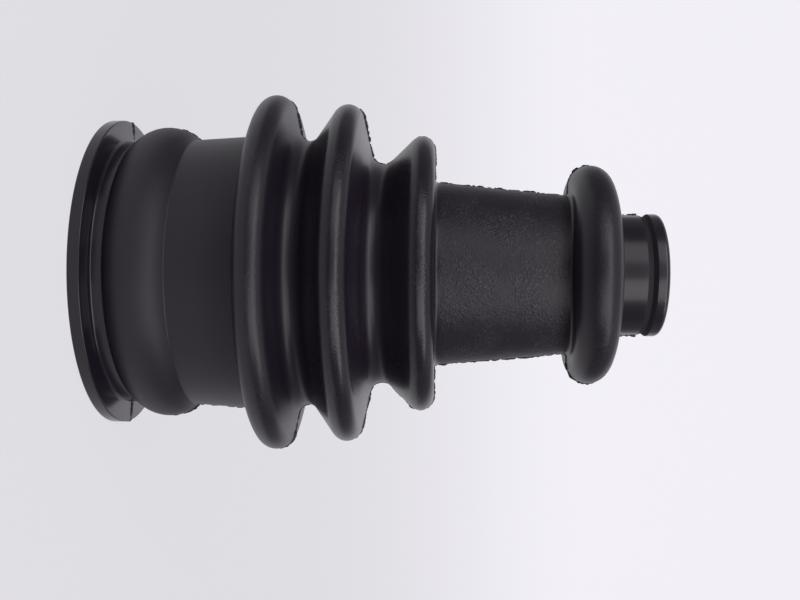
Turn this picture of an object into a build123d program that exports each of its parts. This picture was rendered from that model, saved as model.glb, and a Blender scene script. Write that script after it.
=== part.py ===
from build123d import *
import os
from collections import namedtuple
from itertools import pairwise
from math import acos, atan2, degrees, hypot, sqrt

# Bellows boot, moulded in one piece of black rubber. It stands on the flange of
# its big end, centred on the Z axis, with the small end at the top.
# All sizes are in millimetres, and every diameter is an outside one unless it
# belongs to a bore. The two ends are built outwards from their bores.

# ---- Walls ------------------------------------------------------------------
wall = 2.0  # skin of the folds, the neck and both bulges
crease_round = 0.5  # outside radius wherever two shapes meet in a corner
mouth_chamfer = 0.5  # lead-in at the mouth of each bore

# ---- Big end: housing bore, flange, ring groove and bulge ---------------------
housing_bore = 58.6
housing_bore_edge_round = 1.0
groove_wall = 3.0  # rubber between the housing bore and the floor of the groove
groove_width = 3.4  # floor of the groove, from the flange to the foot of the bulge
groove_corner_round = 0.7
flange_reach = 5.2  # how far the flange stands out from the floor of the groove
flange_thickness = 3.2  # beside the groove
flange_fall = 0.4  # how much thinner the flange is at its rim
flange_rim_round = 0.3
flange_foot_round = 0.4
bulge_reach = 3.55  # how far the bulge stands out from the floor of the groove
bulge_round = 8.9

# ---- Band between the bulge and the folds ------------------------------------
band_step = 2.95  # how far the foot of the band lies in from the bulge's crest
band_flare = 1.0  # how far the top of the band stands out from its foot
band_length = 15.9

# ---- Folds and the valleys between them, from the big end ---------------------
band_to_fold_1 = 4.2
fold_1_diameter = 87.4
fold_1_round = 3.7
fold_1_to_valley_1 = 7.6
valley_1_diameter = 65.4
valley_1_round = 2.9
valley_1_to_fold_2 = 9.6
fold_2_diameter = 83.2
fold_2_round = 3.5
fold_2_to_valley_2 = 8.4
valley_2_diameter = 54.2
valley_2_round = 3.0
valley_2_to_fold_3 = 9.5
fold_3_diameter = 67.8
fold_3_round = 3.3

# ---- Neck and the round bulge at its top --------------------------------------
neck_foot_round = 1.0  # between the last fold and the foot of the neck
neck_foot_diameter = 45.1
neck_top_diameter = 39.2
neck_length = 31.1
neck_top_round = 0.8  # between the top of the neck and the round bulge
ring_diameter = 53.9
ring_round = 4.95

# ---- Small end: shaft bore, clamp seat, V groove and end bead ------------------
shaft_bore = 24.0
shaft_bore_edge_round = 1.5
collar_wall = 2.85  # rubber between the shaft bore and the clamp seat
collar_length = 12.3
collar_foot_round = 1.0
end_groove_depth = 0.5
end_groove_ramp = 1.2  # slope from the clamp seat down to the bottom of the groove
end_groove_rise = 1.0  # slope from there up to the bead
end_bead_reach = 0.3  # how far the bead stands out from the clamp seat
end_bead_length = 2.9
end_bead_round = 1.2

# A round of the section: its centre as distance from the axis and height, and
# its radius, which is negative where the skin folds inwards.
Round = namedtuple("Round", "r z swell")


def crest(diameter, swell, z):
    """Round whose skin reaches out to a diameter."""
    return Round(diameter / 2 - swell, z, swell)


def hollow(diameter, swell, z):
    """Round whose skin reaches in to a diameter."""
    return Round(diameter / 2 + swell, z, -swell)


def corner_beside(bulge, diameter, swell, side):
    """Hollow at a diameter that touches a bulge, above it (1) or below it (-1)."""
    centre_r = diameter / 2 + swell
    rise = sqrt((bulge.swell + swell) ** 2 - (centre_r - bulge.r) ** 2)
    return Round(centre_r, bulge.z + side * rise, -swell)


def thinned(rounds, depth):
    """The same rounds on the parallel skin that lies a depth further in."""
    return [Round(one.r, one.z, one.swell - depth) for one in rounds]


def flank_direction(low, high):
    """Direction, in degrees, that the straight flank between two rounds faces."""
    gap = hypot(high.r - low.r, high.z - low.z)
    lean = (low.swell - high.swell) / gap
    return degrees(atan2(high.z - low.z, high.r - low.r) - acos(max(-1, min(1, lean))))


def draw_skin(rounds):
    """Draws the arcs and flanks from the lowest round to the highest. Both ends
    of the line face straight out. Returns its two end points."""
    directions = [flank_direction(low, high) for low, high in pairwise(rounds)]
    directions = [0, *directions, 0]
    arcs = []
    for one, start, stop in zip(rounds, directions, directions[1:]):
        turned = start if one.swell > 0 else start + 180
        arcs.append(CenterArc((one.r, one.z), abs(one.swell), turned, stop - start))
    for low, high in pairwise(arcs):
        if (high @ 0 - low @ 1).length > 0.001:
            Line(low @ 1, high @ 0)
    return arcs[0] @ 0, arcs[-1] @ 1


# ---- Diameters of the two ends ----------------------------------------------------
groove_diameter = housing_bore + 2 * groove_wall
flange_diameter = groove_diameter + 2 * flange_reach
bulge_diameter = groove_diameter + 2 * bulge_reach
band_foot_diameter = bulge_diameter - 2 * band_step
band_top_diameter = band_foot_diameter + 2 * band_flare
collar_diameter = shaft_bore + 2 * collar_wall
end_bead_diameter = collar_diameter + 2 * end_bead_reach

# ---- Places along the axis ------------------------------------------------------
foot_rise = sqrt(bulge_round**2 - (bulge_round - bulge_reach) ** 2)
bulge = crest(bulge_diameter, bulge_round, flange_thickness + groove_width + foot_rise)
bulge_foot = corner_beside(bulge, groove_diameter, crease_round, -1)
band_foot = corner_beside(bulge, band_foot_diameter, crease_round, 1)
band_top = hollow(band_top_diameter, crease_round, band_foot.z + band_length)
fold_1 = crest(fold_1_diameter, fold_1_round, band_top.z + band_to_fold_1)
valley_1 = hollow(valley_1_diameter, valley_1_round, fold_1.z + fold_1_to_valley_1)
fold_2 = crest(fold_2_diameter, fold_2_round, valley_1.z + valley_1_to_fold_2)
valley_2 = hollow(valley_2_diameter, valley_2_round, fold_2.z + fold_2_to_valley_2)
fold_3 = crest(fold_3_diameter, fold_3_round, valley_2.z + valley_2_to_fold_3)
neck_foot_z = fold_3.z + fold_3_round + neck_foot_round
neck_foot = hollow(neck_foot_diameter, neck_foot_round, neck_foot_z)
neck_top = hollow(neck_top_diameter, neck_top_round, neck_foot_z + neck_length)
ring = crest(ring_diameter, ring_round, neck_top.z + neck_top_round + ring_round)
collar_foot_z = ring.z + ring_round
collar_foot = hollow(collar_diameter, collar_foot_round, collar_foot_z + collar_foot_round)
top_z = collar_foot_z + collar_length

between_bores = [
    bulge,
    band_foot,
    band_top,
    fold_1,
    valley_1,
    fold_2,
    valley_2,
    fold_3,
    neck_foot,
    neck_top,
    ring,
]
outer_rounds = [bulge_foot, *between_bores, collar_foot]
inner_rounds = thinned(between_bores, wall)
housing_edge = corner_beside(inner_rounds[0], housing_bore, housing_bore_edge_round, -1)
shaft_edge_z = collar_foot_z - wall + shaft_bore_edge_round
shaft_edge = hollow(shaft_bore, shaft_bore_edge_round, shaft_edge_z)

with BuildPart() as boot:
    with BuildSketch(Plane.XZ):
        with BuildLine():
            groove_end, collar_start = draw_skin(outer_rounds)
            housing_end, shaft_start = draw_skin([housing_edge, *inner_rounds, shaft_edge])

            # Flange, from the groove's floor round to the housing bore.
            housing_r = housing_bore / 2
            groove_r = groove_diameter / 2
            flange_r = flange_diameter / 2
            FilletPolyline(
                groove_end,
                (groove_r, flange_thickness),
                (flange_r, flange_thickness - flange_fall),
                (flange_r, 0),
                (housing_r + mouth_chamfer, 0),
                (housing_r, mouth_chamfer),
                housing_end,
                radius=[groove_corner_round, flange_rim_round, flange_foot_round, 0, 0],
            )

            # Collar, from the clamp seat past its V groove round to the shaft bore.
            shaft_r = shaft_bore / 2
            collar_r = collar_diameter / 2
            bead_r = end_bead_diameter / 2
            bead_z = top_z - end_bead_length
            groove_z = bead_z - end_groove_rise
            FilletPolyline(
                collar_start,
                (collar_r, groove_z - end_groove_ramp),
                (collar_r - end_groove_depth, groove_z),
                (bead_r, bead_z),
                (bead_r, top_z),
                (shaft_r + mouth_chamfer, top_z),
                (shaft_r, top_z - mouth_chamfer),
                shaft_start,
                radius=[0, 0, 0, end_bead_round, 0, 0],
            )
        make_face()
    revolve(axis=Axis.Z)

boot.part.label = "boot"
os.makedirs("parts", exist_ok=True)
export_step(boot.part, "parts/boot.step")
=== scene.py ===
from collections import namedtuple
from itertools import pairwise
from math import acos, atan2, ceil, cos, hypot, pi, radians, sin, sqrt, tan

import bpy
from bpy.props import FloatProperty, FloatVectorProperty, IntProperty, PointerProperty
from bpy.types import Operator, Panel, PropertyGroup
from mathutils import Matrix, Vector


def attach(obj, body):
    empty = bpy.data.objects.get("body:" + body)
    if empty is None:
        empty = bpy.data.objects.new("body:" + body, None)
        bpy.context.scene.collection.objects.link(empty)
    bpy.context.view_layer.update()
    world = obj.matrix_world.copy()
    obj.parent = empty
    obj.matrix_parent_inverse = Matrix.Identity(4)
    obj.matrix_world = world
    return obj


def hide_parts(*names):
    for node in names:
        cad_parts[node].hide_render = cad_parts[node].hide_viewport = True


bl_info = {
    "name": "Rubber bellows boot",
    "version": (1, 0, 0),
    "blender": (4, 5, 0),
    "location": "View3D > Sidebar > Bellows boot",
    "description": "Moulds a black rubber bellows boot, its parting flash and its studio",
    "category": "Object",
}

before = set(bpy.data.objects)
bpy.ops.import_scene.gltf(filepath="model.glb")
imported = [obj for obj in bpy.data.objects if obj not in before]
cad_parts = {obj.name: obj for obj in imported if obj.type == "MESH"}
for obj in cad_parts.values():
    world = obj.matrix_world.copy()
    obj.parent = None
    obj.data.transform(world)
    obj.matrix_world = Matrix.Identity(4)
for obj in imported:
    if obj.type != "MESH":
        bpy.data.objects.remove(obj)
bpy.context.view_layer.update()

NODE = "boot"
BODY = "root"
MM = 0.001


# ---- Sizes and colours ----------------------------------------------------------------


def length(name, description, millimetres):
    """A length that a user can change. Its default is given in millimetres."""
    return FloatProperty(
        name=name, description=description, default=millimetres * MM, unit="LENGTH", precision=5
    )


def share(name, description, default):
    """A number from 0 to 1."""
    return FloatProperty(name=name, description=description, default=default, min=0, max=1)


def amount(name, description, default):
    """A plain number."""
    return FloatProperty(name=name, description=description, default=default, min=0)


def turn(name, description, in_degrees):
    """An angle, with its default in degrees."""
    return FloatProperty(
        name=name, description=description, default=radians(in_degrees), subtype="ANGLE"
    )


def colour(name, description, default):
    """A colour in linear light."""
    return FloatVectorProperty(
        name=name, description=description, default=default, subtype="COLOR", min=0, max=1
    )


class BootSizes(PropertyGroup):
    """Section of the boot. Diameters are outside ones, unless they belong to a bore."""

    wall: length("Wall", "Skin of the folds, the neck and both bulges", 2.0)
    crease_round: length("Crease round", "Outside radius where two shapes meet", 0.5)
    mouth_chamfer: length("Mouth chamfer", "Lead-in at the mouth of each bore", 0.5)
    edge_round: length("Edge round", "Softness of every edge that the mould leaves sharp", 0.15)

    housing_bore: length("Housing bore", "Bore of the big end", 58.6)
    housing_bore_edge_round: length("Housing bore edge", "Round at the top of that bore", 1.0)
    groove_wall: length("Groove wall", "Rubber from the housing bore to the groove", 3.0)
    groove_width: length("Groove width", "Floor of the ring groove", 3.4)
    groove_corner_round: length("Groove corner", "Round between groove and flange", 0.7)
    flange_reach: length("Flange reach", "How far the flange stands out from the groove", 5.2)
    flange_thickness: length("Flange thickness", "Beside the groove", 3.2)
    flange_fall: length("Flange fall", "How much thinner the flange is at its rim", 0.4)
    flange_rim_round: length("Flange rim", "Round on the flange's upper rim", 0.3)
    flange_foot_round: length("Flange foot", "Round on the flange's lower rim", 0.4)
    bulge_reach: length("Bulge reach", "How far the bulge stands out from the groove", 3.55)
    bulge_round: length("Bulge round", "Radius of the bulge's section", 8.9)

    band_step: length("Band step", "How far the band's foot lies in from the bulge", 2.95)
    band_flare: length("Band flare", "How far the band's top stands out from its foot", 1.0)
    band_length: length("Band length", "Length of the band", 15.9)

    band_to_fold_1: length("Band to fold 1", "Height from the band's top to the crest", 4.2)
    fold_1_diameter: length("Fold 1 diameter", "Over the crest", 87.4)
    fold_1_round: length("Fold 1 round", "Radius of the crest's section", 3.7)
    fold_1_to_valley_1: length("Fold 1 to valley 1", "Height between them", 7.6)
    valley_1_diameter: length("Valley 1 diameter", "At the bottom of the valley", 65.4)
    valley_1_round: length("Valley 1 round", "Radius of the valley's section", 2.9)
    valley_1_to_fold_2: length("Valley 1 to fold 2", "Height between them", 9.6)
    fold_2_diameter: length("Fold 2 diameter", "Over the crest", 83.2)
    fold_2_round: length("Fold 2 round", "Radius of the crest's section", 3.5)
    fold_2_to_valley_2: length("Fold 2 to valley 2", "Height between them", 8.4)
    valley_2_diameter: length("Valley 2 diameter", "At the bottom of the valley", 54.2)
    valley_2_round: length("Valley 2 round", "Radius of the valley's section", 3.0)
    valley_2_to_fold_3: length("Valley 2 to fold 3", "Height between them", 9.5)
    fold_3_diameter: length("Fold 3 diameter", "Over the crest", 67.8)
    fold_3_round: length("Fold 3 round", "Radius of the crest's section", 3.3)

    neck_foot_round: length("Neck foot round", "Round at the foot of the neck", 1.0)
    neck_foot_diameter: length("Neck foot diameter", "At the foot of the neck", 45.1)
    neck_top_diameter: length("Neck top diameter", "At the top of the neck", 39.2)
    neck_length: length("Neck length", "Length of the neck", 31.1)
    neck_top_round: length("Neck top round", "Round between neck and bulge", 0.8)
    ring_diameter: length("Ring diameter", "Over the round bulge at the neck's top", 53.9)
    ring_round: length("Ring round", "Radius of that bulge's section", 4.95)

    shaft_bore: length("Shaft bore", "Bore of the small end", 24.0)
    shaft_bore_edge_round: length("Shaft bore edge", "Round at the foot of that bore", 1.5)
    collar_wall: length("Collar wall", "Rubber from the shaft bore to the clamp seat", 2.85)
    collar_length: length("Collar length", "Length of the collar", 12.3)
    collar_foot_round: length("Collar foot", "Round at the foot of the collar", 1.0)
    end_groove_depth: length("End groove depth", "Depth of the V groove", 0.5)
    end_groove_ramp: length("End groove ramp", "Slope down to the groove's bottom", 1.2)
    end_groove_rise: length("End groove rise", "Slope from there up to the bead", 1.0)
    end_bead_reach: length("End bead reach", "How far the bead stands out", 0.3)
    end_bead_length: length("End bead length", "Length of the bead", 2.9)
    end_bead_round: length("End bead round", "Round on the bead's rim", 1.2)


class Moulding(PropertyGroup):
    """What the mould and the rubber's shrinking leave on the surface."""

    columns: IntProperty(
        name="Columns", description="Faces round the boot", default=216, min=24
    )
    wobble: length("Wobble", "How far the skin strays from a true turned form", 0.16)
    wobble_size: length("Wobble size", "Width of one swell of it", 22.0)
    lean: length("Lean", "How far the rubber has set towards the big end in front", 1.0)
    flash_height: length("Flash height", "Usual height of the parting flash", 0.28)
    flash_tags: length("Flash tags", "Extra height of the ragged tags on it", 0.25)
    flash_sink: length("Flash sink", "How deep the flash starts under the skin", 0.25)
    flash_root: length("Flash root", "Thickness of the flash where it leaves the skin", 0.4)
    flash_crest: length("Flash crest", "Thickness at its ragged edge", 0.2)
    flash_step: length("Flash step", "Distance between two points along it", 0.22)


class RubberFinish(PropertyGroup):
    """Look of the black rubber."""

    base: colour("Rubber", "Colour of the rubber", (0.0145, 0.0095, 0.0185))
    dust: colour("Dust", "Colour of the bloom and dust on it", (0.065, 0.058, 0.07))
    matt: share("Matt roughness", "Roughness of the bulge, the band and the neck", 0.44)
    satin: share("Satin roughness", "Roughness of the folds", 0.27)
    gloss: share("Gloss roughness", "Roughness of the flange", 0.18)
    seat: share("Clamp seat roughness", "Roughness of the small end", 0.3)
    groove: share("V groove roughness", "Roughness of the V groove in the small end", 0.8)
    coat: share("Coat", "Extra gloss of the small end", 0.3)
    grain: share("Grain", "Strength of the coarse grain on the neck", 1.0)
    scuffs: share("Scuffs", "Strength of the scuffs on the crests", 0.35)
    grain_depth: length("Grain depth", "Depth of that grain", 0.24)


class Studio(PropertyGroup):
    """Paper backdrop, lamps and camera."""

    floor: colour("Floor", "Colour of the paper that the boot stands on", (0.77, 0.76, 0.8))
    wall: colour("Wall", "Colour of the paper behind the boot", (0.93, 0.905, 0.975))
    evenness: share("Evenness", "How little the shadows show on the paper", 0.9)
    shine: share("Paper in gloss", "How bright the paper looks in the rubber's gloss", 0.85)
    room: amount("Room light", "Strength of the light from all round", 0.12)
    left_light: amount("Left softbox", "Brightness of the one on the left", 1.05)
    right_light: amount("Right softbox", "Brightness of the one on the right", 1.6)
    front_light: amount("Front softbox", "Brightness of the one behind the camera", 0.25)
    high_light: amount("High softboxes", "Brightness of the row above those", 2.6)
    top_light: amount("Top softbox", "Brightness of the one straight above", 0.33)
    camera_distance: length("Camera distance", "From the boot's axis", 243.3)
    camera_height: length("Camera height", "Above the floor", 77.6)
    camera_offset: length("Camera offset", "To one side of the axis", 6.6)
    camera_pan: turn("Camera pan", "Aim towards the small end", -1.68)
    camera_roll: turn("Camera roll", "Turn of the picture, past the quarter turn", 0.43)
    focal_length: FloatProperty(
        name="Focal length", description="In millimetres on a 36 mm wide sensor",
        default=43.77, unit="CAMERA", min=1,
    )


# ---- Node trees written as expressions --------------------------------------------------


class Wire:
    """A node's output. Arithmetic on it adds Math nodes to the tree."""

    def __init__(self, tree, socket):
        self.tree = tree
        self.socket = socket

    def maths(self, operation, *values):
        return self.tree.node("ShaderNodeMath", {"operation": operation}, dict(enumerate(values)))

    def __add__(self, other):
        return self.maths("ADD", self, other)

    def __sub__(self, other):
        return self.maths("SUBTRACT", self, other)

    def __mul__(self, other):
        return self.maths("MULTIPLY", self, other)

    def __truediv__(self, other):
        return self.maths("DIVIDE", self, other)

    def __radd__(self, other):
        return self.maths("ADD", other, self)

    def __rsub__(self, other):
        return self.maths("SUBTRACT", other, self)

    def __rmul__(self, other):
        return self.maths("MULTIPLY", other, self)

    def __rtruediv__(self, other):
        return self.maths("DIVIDE", other, self)


class Tree:
    """Adds nodes to a node tree and joins them up."""

    def __init__(self, node_tree):
        self.node_tree = node_tree
        self.nodes = node_tree.nodes

    def node(self, kind, settings=None, sockets=None, output=0):
        """Adds a node: its settings first, then the value or wire of each socket, by
        name or number. Returns the wire of one output."""
        node = self.nodes.new(kind)
        for name, value in (settings or {}).items():
            setattr(node, name, value)
        for key, value in (sockets or {}).items():
            self.plug(node.inputs[key], value)
        return Wire(self, node.outputs[output]) if node.outputs else node

    def plug(self, socket, value):
        """Links a wire to a socket, or sets the socket's own value."""
        if isinstance(value, Wire):
            self.node_tree.links.new(value.socket, socket)
        else:
            socket.default_value = value

    def band(self, value, low, high):
        """Rises smoothly from 0 at low to 1 at high."""
        settings = {"interpolation_type": "SMOOTHSTEP"}
        return self.node(
            "ShaderNodeMapRange", settings, {"Value": value, "From Min": low, "From Max": high}
        )

    def step(self, value, edge, soft):
        """Rises from 0 to 1 at an edge, over a soft width on either side of it."""
        return self.band(value, edge - soft, edge + soft)

    def blended(self, first, second, share):
        """One number turning into another."""
        return first + (second - first) * share

    def near(self, value, middle, full, gone):
        """1 up to a distance from the middle, falling to 0 at a greater one."""
        return 1 - self.band(value.maths("ABSOLUTE", value - middle), full, gone)

    def noise(self, place, size, **sockets):
        """Noise from 0 to 1, in swells of about one size."""
        scale = 1 / size
        return self.node("ShaderNodeTexNoise", None, {"Vector": place, "Scale": scale, **sockets})

    def scaled(self, vector, factor):
        """A vector times a number."""
        return self.node(
            "ShaderNodeVectorMath", {"operation": "SCALE"}, {"Vector": vector, "Scale": factor}
        )

    def parts(self, vector):
        """The three numbers of a vector."""
        first = self.node("ShaderNodeSeparateXYZ", None, {0: vector})
        outputs = first.socket.node.outputs
        return [Wire(self, outputs[name]) for name in "XYZ"]

    def vector(self, x, y, z):
        """A vector of three numbers."""
        return self.node("ShaderNodeCombineXYZ", None, {0: x, 1: y, 2: z})

    def mixed(self, factor, first, second):
        """One colour turning into another."""
        sockets = {0: factor, 6: first, 7: second}
        return self.node("ShaderNodeMix", {"data_type": "RGBA"}, sockets, output=2)


class Shaping(Tree):
    """A Geometry Nodes tree with named inputs."""

    def __init__(self, name):
        super().__init__(bpy.data.node_groups.new(name, "GeometryNodeTree"))
        self.node_tree.interface.new_socket("Geometry", socket_type="NodeSocketGeometry")
        self.node_tree.interface.new_socket(
            "Geometry", in_out="OUTPUT", socket_type="NodeSocketGeometry"
        )
        self.entry = self.nodes.new("NodeGroupInput")
        self.start = Wire(self, self.entry.outputs["Geometry"])
        self.values = {}

    def asks(self, name, value, kind="NodeSocketFloat"):
        """Adds a named input and returns its wire."""
        socket = self.node_tree.interface.new_socket(name, socket_type=kind)
        self.values[socket.identifier] = value
        return Wire(self, self.entry.outputs[name])

    def finish(self, geometry, material):
        """Ends the tree with real geometry in one material."""
        real = self.node("GeometryNodeRealizeInstances", None, {"Geometry": geometry})
        painted = self.node(
            "GeometryNodeSetMaterial", None, {"Geometry": real, "Material": material}
        )
        exit_node = self.nodes.new("NodeGroupOutput")
        self.node_tree.links.new(painted.socket, exit_node.inputs["Geometry"])

    def applied(self, lines):
        """Runs the tree on an object and returns the plain mesh that it makes."""
        modifier = lines.modifiers.new(self.node_tree.name, "NODES")
        modifier.node_group = self.node_tree
        for identifier, value in self.values.items():
            modifier[identifier] = value
        evaluated = lines.evaluated_get(bpy.context.evaluated_depsgraph_get())
        mesh = bpy.data.meshes.new_from_object(evaluated)
        lines.modifiers.remove(modifier)
        return mesh


# ---- The section ------------------------------------------------------------------------

Round = namedtuple("Round", "r z swell")
Corner = namedtuple("Corner", "r z round")


def crest(diameter, swell, z):
    """Round whose skin reaches out to a diameter."""
    return Round(diameter / 2 - swell, z, swell)


def hollow(diameter, swell, z):
    """Round whose skin reaches in to a diameter."""
    return Round(diameter / 2 + swell, z, -swell)


def corner_beside(bulge, diameter, swell, side):
    """Hollow at a diameter that touches a bulge, above it (1) or below it (-1)."""
    centre_r = diameter / 2 + swell
    rise = sqrt((bulge.swell + swell) ** 2 - (centre_r - bulge.r) ** 2)
    return Round(centre_r, bulge.z + side * rise, -swell)


def thinned(rounds, depth):
    """The same rounds on the parallel skin that lies a depth further in."""
    return [Round(one.r, one.z, one.swell - depth) for one in rounds]


def flank_direction(low, high):
    """Direction that the straight flank between two rounds faces."""
    gap = hypot(high.r - low.r, high.z - low.z)
    lean = (low.swell - high.swell) / gap
    return atan2(high.z - low.z, high.r - low.r) - acos(max(-1, min(1, lean)))


def arc(centre, radius, start, stop, most):
    """Points of an arc, no further apart than an angle."""
    steps = max(1, ceil(abs(stop - start) / most))
    angles = [start + (stop - start) * step / steps for step in range(steps + 1)]
    return [centre + radius * Vector((cos(angle), sin(angle))) for angle in angles]


def skin(rounds, most):
    """Points of the skin from the lowest round to the highest, in r and z."""
    directions = [flank_direction(low, high) for low, high in pairwise(rounds)]
    directions = [0, *directions, 0]
    points = []
    for one, start, stop in zip(rounds, directions, directions[1:]):
        points += arc(Vector((one.r, one.z)), one.swell, start, stop, most)
    return points


def rounded(corners, most):
    """Points of a line of corners, each with its own round."""
    points = []
    for before, corner, after in zip(corners, corners[1:], corners[2:]):
        at = Vector(corner[:2])
        back = (Vector(before[:2]) - at).normalized()
        on = (Vector(after[:2]) - at).normalized()
        half = back.angle(on) / 2
        centre = at + (back + on).normalized() * corner.round / sin(half)
        start = atan2(*reversed(at + back * corner.round / tan(half) - centre))
        swing = back.angle_signed(on)
        sweep = (pi - abs(swing)) * (1 if swing > 0 else -1)
        points += arc(centre, corner.round, start, start + sweep, most)
    return points


def filled(points, step):
    """The same points, with more of them along every straight run over a length."""
    more = []
    for here, there in pairwise(points):
        pieces = max(1, ceil((there - here).length / step))
        more += [here.lerp(there, piece / pieces) for piece in range(pieces)]
    return [*more, points[-1]]


def without_doubles(points):
    """The same points, without any that lies on the one before it."""
    apart = [points[0]]
    for point in points[1:]:
        if (point - apart[-1]).length > 0.01 * MM:
            apart.append(point)
    return apart


class Section:
    """The boot's section, worked out from its sizes."""

    def __init__(self, sizes):
        s = sizes
        self.groove_r = s.housing_bore / 2 + s.groove_wall
        self.flange_r = self.groove_r + s.flange_reach
        bulge_diameter = 2 * (self.groove_r + s.bulge_reach)
        band_foot_diameter = bulge_diameter - 2 * s.band_step
        band_top_diameter = band_foot_diameter + 2 * s.band_flare
        self.collar_r = s.shaft_bore / 2 + s.collar_wall

        foot_rise = sqrt(s.bulge_round**2 - (s.bulge_round - s.bulge_reach) ** 2)
        bulge_z = s.flange_thickness + s.groove_width + foot_rise
        self.bulge = crest(bulge_diameter, s.bulge_round, bulge_z)
        self.bulge_foot = corner_beside(self.bulge, 2 * self.groove_r, s.crease_round, -1)
        self.band_foot = corner_beside(self.bulge, band_foot_diameter, s.crease_round, 1)
        band_top_z = self.band_foot.z + s.band_length
        self.band_top = hollow(band_top_diameter, s.crease_round, band_top_z)
        self.fold_1 = crest(s.fold_1_diameter, s.fold_1_round, band_top_z + s.band_to_fold_1)
        self.valley_1 = hollow(
            s.valley_1_diameter, s.valley_1_round, self.fold_1.z + s.fold_1_to_valley_1
        )
        self.fold_2 = crest(
            s.fold_2_diameter, s.fold_2_round, self.valley_1.z + s.valley_1_to_fold_2
        )
        self.valley_2 = hollow(
            s.valley_2_diameter, s.valley_2_round, self.fold_2.z + s.fold_2_to_valley_2
        )
        self.fold_3 = crest(
            s.fold_3_diameter, s.fold_3_round, self.valley_2.z + s.valley_2_to_fold_3
        )
        neck_foot_z = self.fold_3.z + s.fold_3_round + s.neck_foot_round
        self.neck_foot = hollow(s.neck_foot_diameter, s.neck_foot_round, neck_foot_z)
        neck_top_z = neck_foot_z + s.neck_length
        self.neck_top = hollow(s.neck_top_diameter, s.neck_top_round, neck_top_z)
        ring_z = neck_top_z + s.neck_top_round + s.ring_round
        self.ring = crest(s.ring_diameter, s.ring_round, ring_z)
        self.collar_foot_z = self.ring.z + s.ring_round
        self.top_z = self.collar_foot_z + s.collar_length
        self.end_bead_z = self.top_z - s.end_bead_length
        self.end_groove_z = self.end_bead_z - s.end_groove_rise
        self.end_groove_foot_z = self.end_groove_z - s.end_groove_ramp
        self.sizes = sizes
        self.between_bores = [
            self.bulge, self.band_foot, self.band_top, self.fold_1, self.valley_1,
            self.fold_2, self.valley_2, self.fold_3, self.neck_foot, self.neck_top, self.ring,
        ]

    def flange(self, most):
        """Points from the housing bore round the flange to its groove."""
        s = self.sizes
        bore_r = s.housing_bore / 2
        return rounded(
            [
                Corner(bore_r, s.flange_thickness, 0),
                Corner(bore_r, s.mouth_chamfer, s.edge_round),
                Corner(bore_r + s.mouth_chamfer, 0, s.edge_round),
                Corner(self.flange_r, 0, s.flange_foot_round),
                Corner(self.flange_r, s.flange_thickness - s.flange_fall, s.flange_rim_round),
                Corner(self.groove_r, s.flange_thickness, s.groove_corner_round),
                Corner(self.groove_r, self.bulge_foot.z, 0),
            ],
            most,
        )

    def collar(self, most):
        """Points from the clamp seat over the end bead to the shaft bore."""
        s = self.sizes
        bore_r = s.shaft_bore / 2
        return rounded(
            [
                Corner(self.collar_r, self.collar_foot_z, 0),
                Corner(self.collar_r, self.end_groove_foot_z, s.edge_round),
                Corner(self.collar_r - s.end_groove_depth, self.end_groove_z, s.edge_round),
                Corner(self.collar_r + s.end_bead_reach, self.end_bead_z, s.edge_round),
                Corner(self.collar_r + s.end_bead_reach, self.top_z, s.end_bead_round),
                Corner(bore_r + s.mouth_chamfer, self.top_z, s.edge_round),
                Corner(bore_r, self.top_z - s.mouth_chamfer, s.edge_round),
                Corner(bore_r, self.collar_foot_z, 0),
            ],
            most,
        )

    def outer(self, most):
        """Points of the outer skin from the foot of the bulge to the clamp seat."""
        s = self.sizes
        foot = s.collar_foot_round
        collar_foot = hollow(2 * self.collar_r, foot, self.collar_foot_z + foot)
        return skin([self.bulge_foot, *self.between_bores, collar_foot], most)

    def inner(self, most):
        """Points of the inner skin from the housing bore to the shaft bore."""
        s = self.sizes
        rounds = thinned(self.between_bores, s.wall)
        start = corner_beside(rounds[0], s.housing_bore, s.housing_bore_edge_round, -1)
        stop_z = self.collar_foot_z - s.wall + s.shaft_bore_edge_round
        stop = hollow(s.shaft_bore, s.shaft_bore_edge_round, stop_z)
        return skin([start, *rounds, stop], most)


# ---- Pieces -----------------------------------------------------------------------------


def line_object(name, chains, closed):
    """An object of bare edges in the plane y = 0, through chains of points in r and z."""
    vertices = []
    edges = []
    for chain in chains:
        first = len(vertices)
        vertices += [(point.x, 0, point.y) for point in chain]
        edges += list(pairwise(range(first, len(vertices))))
        if closed:
            edges.append((len(vertices) - 1, first))
    mesh = bpy.data.meshes.new(name)
    mesh.from_pydata(vertices, edges, [])
    lines = bpy.data.objects.new(name, mesh)
    bpy.context.collection.objects.link(lines)
    return lines


def place_piece(lines, mesh):
    """Gives an object its finished mesh and hands it to the frame."""
    old = lines.data
    lines.data = mesh
    bpy.data.meshes.remove(old)
    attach(lines, BODY)


def share_of_lean(tree, section, height):
    """How far the rubber has set at a height: more and more up to the first fold, no
    longer on the neck, and once more in the corner at the neck's top."""
    groove_share, band_share, corner_share = 0.65, 0.35, 1.3
    flange_rim = section.sizes.flange_thickness - section.sizes.flange_fall
    neck_start, corner_start, corner_gap = 8 * MM, 12 * MM, 1 * MM
    groove = tree.band(height, flange_rim, section.bulge_foot.z) * groove_share
    band = tree.band(height, section.band_foot.z, section.fold_1.z) * band_share
    below_neck = 1 - tree.band(height, section.valley_2.z, section.neck_foot.z + neck_start)
    top = section.neck_top.z
    corner = tree.band(height, top - corner_start, top)
    corner = corner * (1 - tree.band(height, top + corner_gap, section.ring.z))
    return (groove + band) * below_neck + corner * corner_share


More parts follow.
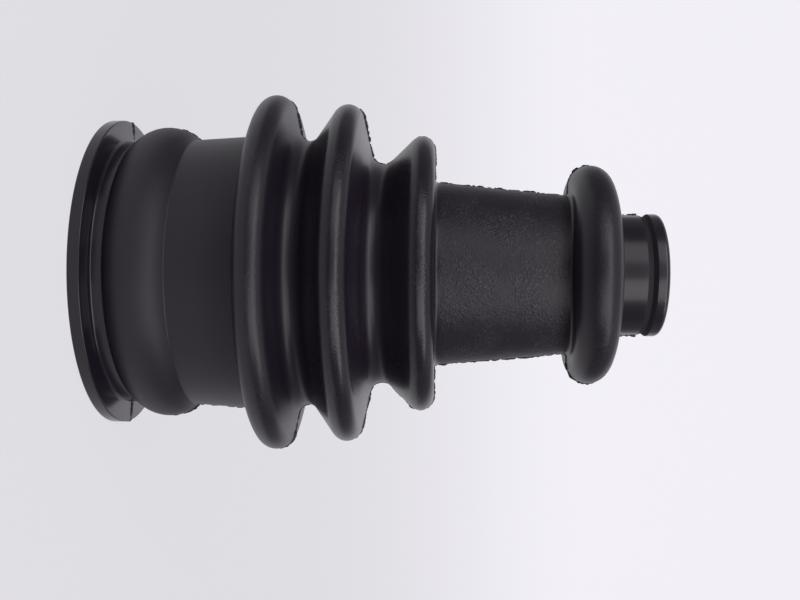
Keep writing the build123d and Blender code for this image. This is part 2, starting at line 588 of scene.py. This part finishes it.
def turned_skin(moulding, section, material):
    """Tree that turns a section round the axis and lets the skin stray a little."""
    tree = Shaping("Turned skin")
    lean = tree.asks("Lean", moulding.lean)
    columns = tree.asks("Columns", moulding.columns, "NodeSocketInt")
    wobble = tree.asks("Wobble", moulding.wobble)
    wobble_size = tree.asks("Wobble size", moulding.wobble_size)
    turning_r = tree.asks("Turning radius", 50 * MM)
    still_height = 6 * MM

    outline = tree.node("GeometryNodeMeshToCurve", None, {"Mesh": tree.start})
    x, _, z = tree.parts(tree.node("GeometryNodeInputPosition"))
    turned_down = tree.vector(x - turning_r, 0 - z, 0)
    profile = tree.node(
        "GeometryNodeSetPosition", None, {"Geometry": outline, "Position": turned_down}
    )
    circle = tree.node(
        "GeometryNodeCurvePrimitiveCircle", None, {"Resolution": columns, "Radius": turning_r}
    )
    level = tree.node("GeometryNodeSetCurveNormal", {"mode": "Z_UP"}, {"Curve": circle})
    turned = tree.node(
        "GeometryNodeCurveToMesh", None, {"Curve": level, "Profile Curve": profile}
    )

    place = tree.node("GeometryNodeInputPosition")
    x, y, height = tree.parts(place)
    swell = 2 * tree.noise(place, wobble_size, Detail=1.0) - 1
    stray = swell * wobble * tree.band(height, 0.0, still_height)
    normal = tree.node("GeometryNodeInputNormal")
    moved = tree.node(
        "GeometryNodeSetPosition", None, {"Geometry": turned, "Offset": tree.scaled(normal, stray)}
    )
    to_front = y / x.maths("SQRT", x * x + y * y)
    drop = lean * share_of_lean(tree, section, height) * to_front * to_front * to_front
    moved = tree.node(
        "GeometryNodeSetPosition", None, {"Geometry": moved, "Offset": tree.vector(0, 0, drop)}
    )
    outward = tree.node("GeometryNodeFlipFaces", None, {"Mesh": moved})
    smooth = tree.node("GeometryNodeSetShadeSmooth", None, {"Geometry": outward})
    tree.finish(smooth, material)
    return tree


class BELLOWS_OT_mould_boot(Operator):
    """Turn the section into the boot's skin, inside and out"""

    bl_idname = "bellows.mould_boot"
    bl_label = "Mould the boot"

    def execute(self, context):
        section = Section(context.scene.boot_sizes)
        fine_turn, fine_run = radians(9), 1.6 * MM
        coarse_turn, coarse_run = radians(18), 4 * MM
        outside = section.flange(fine_turn) + section.outer(fine_turn) + section.collar(fine_turn)
        inside = list(reversed(section.inner(coarse_turn)))
        outside = filled(without_doubles(outside), fine_run)
        inside = filled(without_doubles(inside), coarse_run)
        lines = line_object("boot_skin", [outside + inside], closed=True)
        material = rubber_material(context.scene)
        tree = turned_skin(context.scene.boot_moulding, section, material)
        place_piece(lines, tree.applied(lines))
        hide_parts(NODE)
        return {"FINISHED"}


def parting_flash(moulding, material):
    """Tree that sweeps a thin ragged fin along the line where the mould parts."""
    tree = Shaping("Parting flash")
    step = tree.asks("Step", moulding.flash_step)
    height = tree.asks("Height", moulding.flash_height)
    tags = tree.asks("Tags", moulding.flash_tags)
    root = tree.asks("Root", moulding.flash_root)
    edge = tree.asks("Crest", moulding.flash_crest)
    sink = tree.asks("Sink", moulding.flash_sink)

    line = tree.node("GeometryNodeMeshToCurve", None, {"Mesh": tree.start})
    fine = tree.node(
        "GeometryNodeResampleCurve", {"mode": "LENGTH"}, {"Curve": line, "Length": step}
    )
    across = tree.vector(0, -1, 0)
    flat = tree.node(
        "GeometryNodeSetCurveNormal", {"mode": "FREE"}, {"Curve": fine, "Normal": across}
    )
    outward = tree.node(
        "ShaderNodeVectorMath",
        {"operation": "CROSS_PRODUCT"},
        {0: tree.node("GeometryNodeInputTangent"), 1: across},
    )
    marked = tree.node(
        "GeometryNodeStoreNamedAttribute",
        {"data_type": "FLOAT_VECTOR", "domain": "POINT"},
        {"Geometry": flat, "Name": "outward", "Value": outward},
    )
    fin = tree.node(
        "GeometryNodeCurvePrimitiveQuadrilateral",
        {"mode": "TRAPEZOID"},
        {"Height": sink * 2, "Bottom Width": root, "Top Width": edge, "Offset": 0.0},
    )
    _, fin_height, _ = tree.parts(tree.node("GeometryNodeInputPosition"))
    at_crest = fin_height.maths("GREATER_THAN", fin_height, 0.0)
    fin = tree.node(
        "GeometryNodeStoreNamedAttribute",
        {"data_type": "FLOAT", "domain": "POINT"},
        {"Geometry": fin, "Name": "lift", "Value": at_crest},
    )
    swept = tree.node(
        "GeometryNodeCurveToMesh", None, {"Curve": marked, "Profile Curve": fin, "Fill Caps": True}
    )
    place = tree.node("GeometryNodeInputPosition")
    tooth, tooth_start, tooth_full = 1.3 * MM, 0.28, 0.6
    tag_gap, tag_start, tag_full = 6 * MM, 0.44, 0.62
    teeth = tree.noise(place, tooth, Detail=3.0, Roughness=0.6)
    ragged = tree.band(teeth, tooth_start, tooth_full)
    rare = tree.band(tree.noise(place, tag_gap, Detail=2.0), tag_start, tag_full)
    lift = tree.node("GeometryNodeInputNamedAttribute", {"data_type": "FLOAT"}, {"Name": "lift"})
    rise = lift * (ragged * (height + tags * rare) - sink)
    way = tree.node(
        "GeometryNodeInputNamedAttribute", {"data_type": "FLOAT_VECTOR"}, {"Name": "outward"}
    )
    moved = tree.node(
        "GeometryNodeSetPosition", None, {"Geometry": swept, "Offset": tree.scaled(way, rise)}
    )
    tree.finish(moved, material)
    return tree


class BELLOWS_OT_add_flash(Operator):
    """Run the parting flash up both sides of the boot"""

    bl_idname = "bellows.add_flash"
    bl_label = "Add the parting flash"

    def execute(self, context):
        section = Section(context.scene.boot_sizes)
        turn_step, run, floor_gap = radians(9), 0.5 * MM, 0.6 * MM
        rim = [point for point in section.flange(turn_step) if point.x > section.groove_r]
        line = rim + section.outer(turn_step) + section.collar(turn_step)
        line = filled(without_doubles(line), run)
        side = [point for point in line if floor_gap < point.y < section.end_groove_foot_z]
        other = [Vector((-point.x, point.y)) for point in reversed(side)]
        lines = line_object("parting_flash", [side, other], closed=False)
        tree = parting_flash(context.scene.boot_moulding, rubber_material(context.scene))
        place_piece(lines, tree.applied(lines))
        return {"FINISHED"}


# ---- Material ---------------------------------------------------------------------------


Zones = namedtuple("Zones", "big_end clamp_seat end_groove neck matt")


def finish_zones(tree, section, height):
    """Where each finish lies along the boot, as wires from 0 to 1."""
    foot_edge, seat_edge, groove_edge, bead_edge = 0.6 * MM, 0.4 * MM, 0.2 * MM, 0.1 * MM
    soft, wide, fold_fade = 1 * MM, 2 * MM, 4 * MM
    half_matt, valley_matt, valley_floor, valley_side = 0.5, 0.6, 1.5 * MM, 4 * MM

    big_end = 1 - tree.step(height, section.bulge_foot.z, foot_edge)
    clamp_seat = tree.step(height, section.collar_foot_z, seat_edge)
    low, high = section.end_groove_foot_z, section.end_bead_z
    end_groove = tree.band(height, low - groove_edge, low)
    end_groove = end_groove * (1 - tree.band(height, high - bead_edge, high))

    neck_top, valley_1 = section.neck_top.z, section.valley_1.z
    above_neck = tree.band(height, neck_top - wide, neck_top)
    neck = tree.step(height, section.neck_foot.z, soft) * (1 - above_neck)
    below_folds = 1 - tree.step(height, section.band_top.z, soft)
    bulge = 1 - tree.band(height, section.band_foot.z - wide, section.band_foot.z)
    first_fold = (1 - below_folds) * (1 - tree.band(height, valley_1 - fold_fade, valley_1))
    matt = below_folds + neck + (bulge + first_fold + above_neck) * half_matt
    for valley in (section.valley_1, section.valley_2):
        matt = matt + tree.near(height, valley.z, valley_floor, valley_side) * valley_matt
    return Zones(big_end, clamp_seat, end_groove, neck, matt)


def rubber_material(scene):
    """Black rubber: matt below the folds and on the neck, satin on the folds, and
    glossy at both ends."""
    found = bpy.data.materials.get("moulded_rubber")
    if found:
        return found
    finish = scene.rubber_finish
    section = Section(scene.boot_sizes)
    material = bpy.data.materials.new("moulded_rubber")
    material.use_nodes = True
    tree = Tree(material.node_tree)
    tree.nodes.clear()

    place = tree.node("ShaderNodeTexCoord", output="Object")
    height = tree.parts(place)[2]
    zones = finish_zones(tree, section, height)
    crest_top, crest_side = 0.8 * MM, 3 * MM
    scuffed = zones.neck * finish.grain
    for fold in (section.fold_1, section.fold_2, section.fold_3, section.ring):
        scuffed = scuffed + tree.near(height, fold.z, crest_top, crest_side) * finish.scuffs

    cloud, patch, lump, pore = 14 * MM, 9 * MM, 0.5 * MM, 0.25 * MM
    cloud_change, pore_depth, least_dust, least_wear = 0.1, 0.02, 0.25, 0.4
    cloudy = tree.noise(place, cloud, Detail=4.0, Roughness=0.6) - 0.5
    patchy = tree.band(tree.noise(place, patch, Detail=3.0), 0.4, 0.65)
    coarse = tree.noise(place, lump, Detail=2.0, Roughness=0.6)
    fine = tree.noise(place, pore, Detail=1.0)

    roughness = tree.blended(finish.satin, finish.matt, zones.matt) + cloudy * cloud_change
    roughness = tree.blended(roughness, finish.gloss, zones.big_end)
    roughness = tree.blended(roughness, finish.seat, zones.clamp_seat)
    roughness = tree.blended(roughness, finish.groove, zones.end_groove)
    dusty = tree.band(coarse, 0.5, 0.72) * scuffed * tree.blended(least_dust, 1.0, patchy)
    tint = tree.mixed(dusty, (*finish.base, 1), (*finish.dust, 1))

    worn = coarse * scuffed * tree.blended(least_wear, 1.0, patchy) + fine * pore_depth
    grain = tree.node(
        "ShaderNodeBump", None, {"Strength": 1.0, "Distance": finish.grain_depth, "Height": worn}
    )
    shader = tree.node(
        "ShaderNodeBsdfPrincipled",
        None,
        {
            "Base Color": tint,
            "Roughness": roughness,
            "IOR": 1.5,
            "Coat Weight": zones.clamp_seat * (1 - zones.end_groove) * finish.coat,
            "Coat Roughness": 0.18,
            "Normal": grain,
        },
    )
    output = tree.nodes.new("ShaderNodeOutputMaterial")
    tree.plug(output.inputs["Surface"], shader)
    return material


# ---- Studio -----------------------------------------------------------------------------


def backdrop_material(studio):
    """Pale paper that the camera sees evenly lit. For the gloss of the rubber it carries painted
    shade in front of the boot and to its sides.
    """
    material = bpy.data.materials.new("backdrop_paper")
    material.use_nodes = True
    tree = Tree(material.node_tree)
    tree.nodes.clear()
    wall_start, front_reach = 0.2, 0.3
    side_start, side_end, side_dimming = 0.15, 0.6, 0.75
    x, y, height = tree.parts(tree.node("ShaderNodeTexCoord", output="Object"))
    rising = tree.band(height, 0.0, wall_start)
    paper = tree.mixed(rising, (*studio.floor, 1), (*studio.wall, 1))
    camera = tree.node("ShaderNodeLightPath", output="Is Camera Ray")
    glossy = tree.node("ShaderNodeLightPath", output="Is Glossy Ray")
    through = tree.node("ShaderNodeLightPath", output="Is Transmission Ray")
    seen = camera.maths("MAXIMUM", camera.maths("MAXIMUM", camera, glossy), through)
    # Painted shade: for every ray but the camera's, the paper is painted darker in front of the
    # boot and to its sides, so the gloss of the rubber sees it dim there, though the camera sees
    # all of it alike.
    in_front = 1 - tree.band(0 - y, 0.0, front_reach)
    beside = 1 - tree.band(x.maths("ABSOLUTE", x), side_start, side_end) * side_dimming
    painted_shade = (1 - in_front * beside * studio.shine) * (1 - camera)
    paper = tree.mixed(painted_shade, paper, (0, 0, 0, 1))
    plain = tree.node(
        "ShaderNodeBsdfPrincipled", None, {"Base Color": paper, "Roughness": 0.9}
    )
    glow = tree.node("ShaderNodeEmission", None, {"Color": paper, "Strength": 1.0})
    mixed = tree.node("ShaderNodeMixShader", None, {0: seen * studio.evenness, 1: plain, 2: glow})
    output = tree.nodes.new("ShaderNodeOutputMaterial")
    tree.plug(output.inputs["Surface"], mixed)
    return material


def add_backdrop(studio):
    """One sheet of paper that lies under the boot and curves up behind it."""
    front, back, bend, top, half = -3.0, 0.55, 0.35, 2.2, 3.0
    profile = [Vector((front, 0))]
    profile += arc(Vector((back - bend, bend)), bend, -pi / 2, 0, radians(5))
    profile.append(Vector((back, top)))
    vertices = [(x, point.x, point.y) for x in (-half, half) for point in profile]
    count = len(profile)
    faces = [(i, i + count, i + count + 1, i + 1) for i in range(count - 1)]
    mesh = bpy.data.meshes.new("backdrop")
    mesh.from_pydata(vertices, [], faces)
    mesh.polygons.foreach_set("use_smooth", [True] * len(faces))
    mesh.materials.append(backdrop_material(studio))
    paper = bpy.data.objects.new("backdrop", mesh)
    bpy.context.collection.objects.link(paper)


def add_softbox(name, azimuth, elevation, width, height, radiance):
    """A flat lamp that faces the boot from a metre away. Its place is two angles in
    degrees, and azimuth runs from the camera towards +X."""
    target = Vector((0, 0, 60 * MM))
    across, up = radians(azimuth), radians(elevation)
    away = Vector((sin(across) * cos(up), -cos(across) * cos(up), sin(up)))
    lamp = bpy.data.lights.new(name, "AREA")
    lamp.shape = "RECTANGLE"
    lamp.size = width
    lamp.size_y = height
    lamp.energy = radiance * pi * width * height
    holder = bpy.data.objects.new(name, lamp)
    holder.location = target + away
    holder.rotation_euler = away.to_track_quat("Z", "Y").to_euler()
    holder.visible_camera = False
    bpy.context.collection.objects.link(holder)


def add_camera(studio):
    """Camera that looks level at the boot and lays it down in the picture, big end left."""
    ahead, right, up = Vector((0, 1, 0)), Vector((0, 0, 1)), Vector((-1, 0, 0))
    pan, roll = studio.camera_pan, studio.camera_roll
    ahead, right = ahead * cos(pan) + right * sin(pan), right * cos(pan) - ahead * sin(pan)
    right, up = right * cos(roll) + up * sin(roll), up * cos(roll) - right * sin(roll)
    camera = bpy.data.cameras.new("camera")
    camera.sensor_fit = "HORIZONTAL"
    camera.sensor_width = 36
    camera.lens = studio.focal_length
    camera.clip_start = 0.01
    holder = bpy.data.objects.new("camera", camera)
    turned = Matrix((right, up, -ahead)).transposed().to_4x4()
    place = Vector((studio.camera_offset, -studio.camera_distance, studio.camera_height))
    holder.matrix_world = Matrix.Translation(place) @ turned
    bpy.context.collection.objects.link(holder)
    bpy.context.scene.camera = holder


class BELLOWS_OT_set_stage(Operator):
    """Set up the floor, the lamps and the camera"""

    bl_idname = "bellows.set_stage"
    bl_label = "Set the stage"

    def execute(self, context):
        studio = context.scene.boot_studio
        add_backdrop(studio)
        # Columns of lamps round the front: name, azimuth in degrees, width in metres and
        # brightness of the low lamp, which the last column doesn't have.
        columns = (
            ("left", -43, 0.73, studio.left_light),
            ("front", -6.5, 0.59, studio.front_light),
            ("right", 30, 0.73, studio.right_light),
            ("side", 65, 0.54, None),
        )
        low_angle, low_narrowing, low_height = 15, 0.97, 0.54
        high_angle, high_narrowing, high_height = 37.5, 0.8, 0.26
        for name, azimuth, width, light in columns:
            if light is not None:
                low_width = width * low_narrowing
                add_softbox(f"softbox_{name}", azimuth, low_angle, low_width, low_height, light)
            high = f"softbox_high_{name}"
            high_width = width * high_narrowing
            add_softbox(high, azimuth, high_angle, high_width, high_height, studio.high_light)
        top_angle, top_side = 89, 2.0
        add_softbox("softbox_top", 0, top_angle, top_side, top_side, studio.top_light)
        add_camera(studio)
        world = bpy.data.worlds.new("room")
        world.use_nodes = True
        world.node_tree.nodes["Background"].inputs["Color"].default_value = (1, 1, 1, 1)
        world.node_tree.nodes["Background"].inputs["Strength"].default_value = studio.room
        context.scene.world = world
        context.scene.view_settings.view_transform = "Standard"
        return {"FINISHED"}


# ---- Panel and main ---------------------------------------------------------------------


class BELLOWS_PT_boot(Panel):
    """Buttons for the boot and its studio"""

    bl_idname = "BELLOWS_PT_boot"
    bl_label = "Bellows boot"
    bl_space_type = "VIEW_3D"
    bl_region_type = "UI"
    bl_category = "Bellows boot"

    def draw(self, context):
        for group, operators in (
            (context.scene.boot_sizes, [BELLOWS_OT_mould_boot]),
            (context.scene.boot_moulding, [BELLOWS_OT_add_flash]),
            (context.scene.rubber_finish, []),
            (context.scene.boot_studio, [BELLOWS_OT_set_stage]),
        ):
            box = self.layout.box()
            for name in group.__annotations__:
                box.prop(group, name)
            for operator in operators:
                box.operator(operator.bl_idname)


GROUPS = {
    "boot_sizes": BootSizes,
    "boot_moulding": Moulding,
    "rubber_finish": RubberFinish,
    "boot_studio": Studio,
}
OPERATORS = (BELLOWS_OT_mould_boot, BELLOWS_OT_add_flash, BELLOWS_OT_set_stage)
CLASSES = (*GROUPS.values(), *OPERATORS, BELLOWS_PT_boot)


def register():
    for one in CLASSES:
        bpy.utils.register_class(one)
    for name, group in GROUPS.items():
        setattr(bpy.types.Scene, name, PointerProperty(type=group))


def unregister():
    for name in GROUPS:
        delattr(bpy.types.Scene, name)
    for one in reversed(CLASSES):
        bpy.utils.unregister_class(one)


def corners(box):
    """Both corners of a box as plain lists of numbers."""
    return [[float(value) for value in corner] for corner in box]


def main():
    register()
    bpy.ops.bellows.mould_boot()
    bpy.ops.bellows.add_flash()
    bpy.ops.bellows.set_stage()


if __name__ == "__main__":
    main()
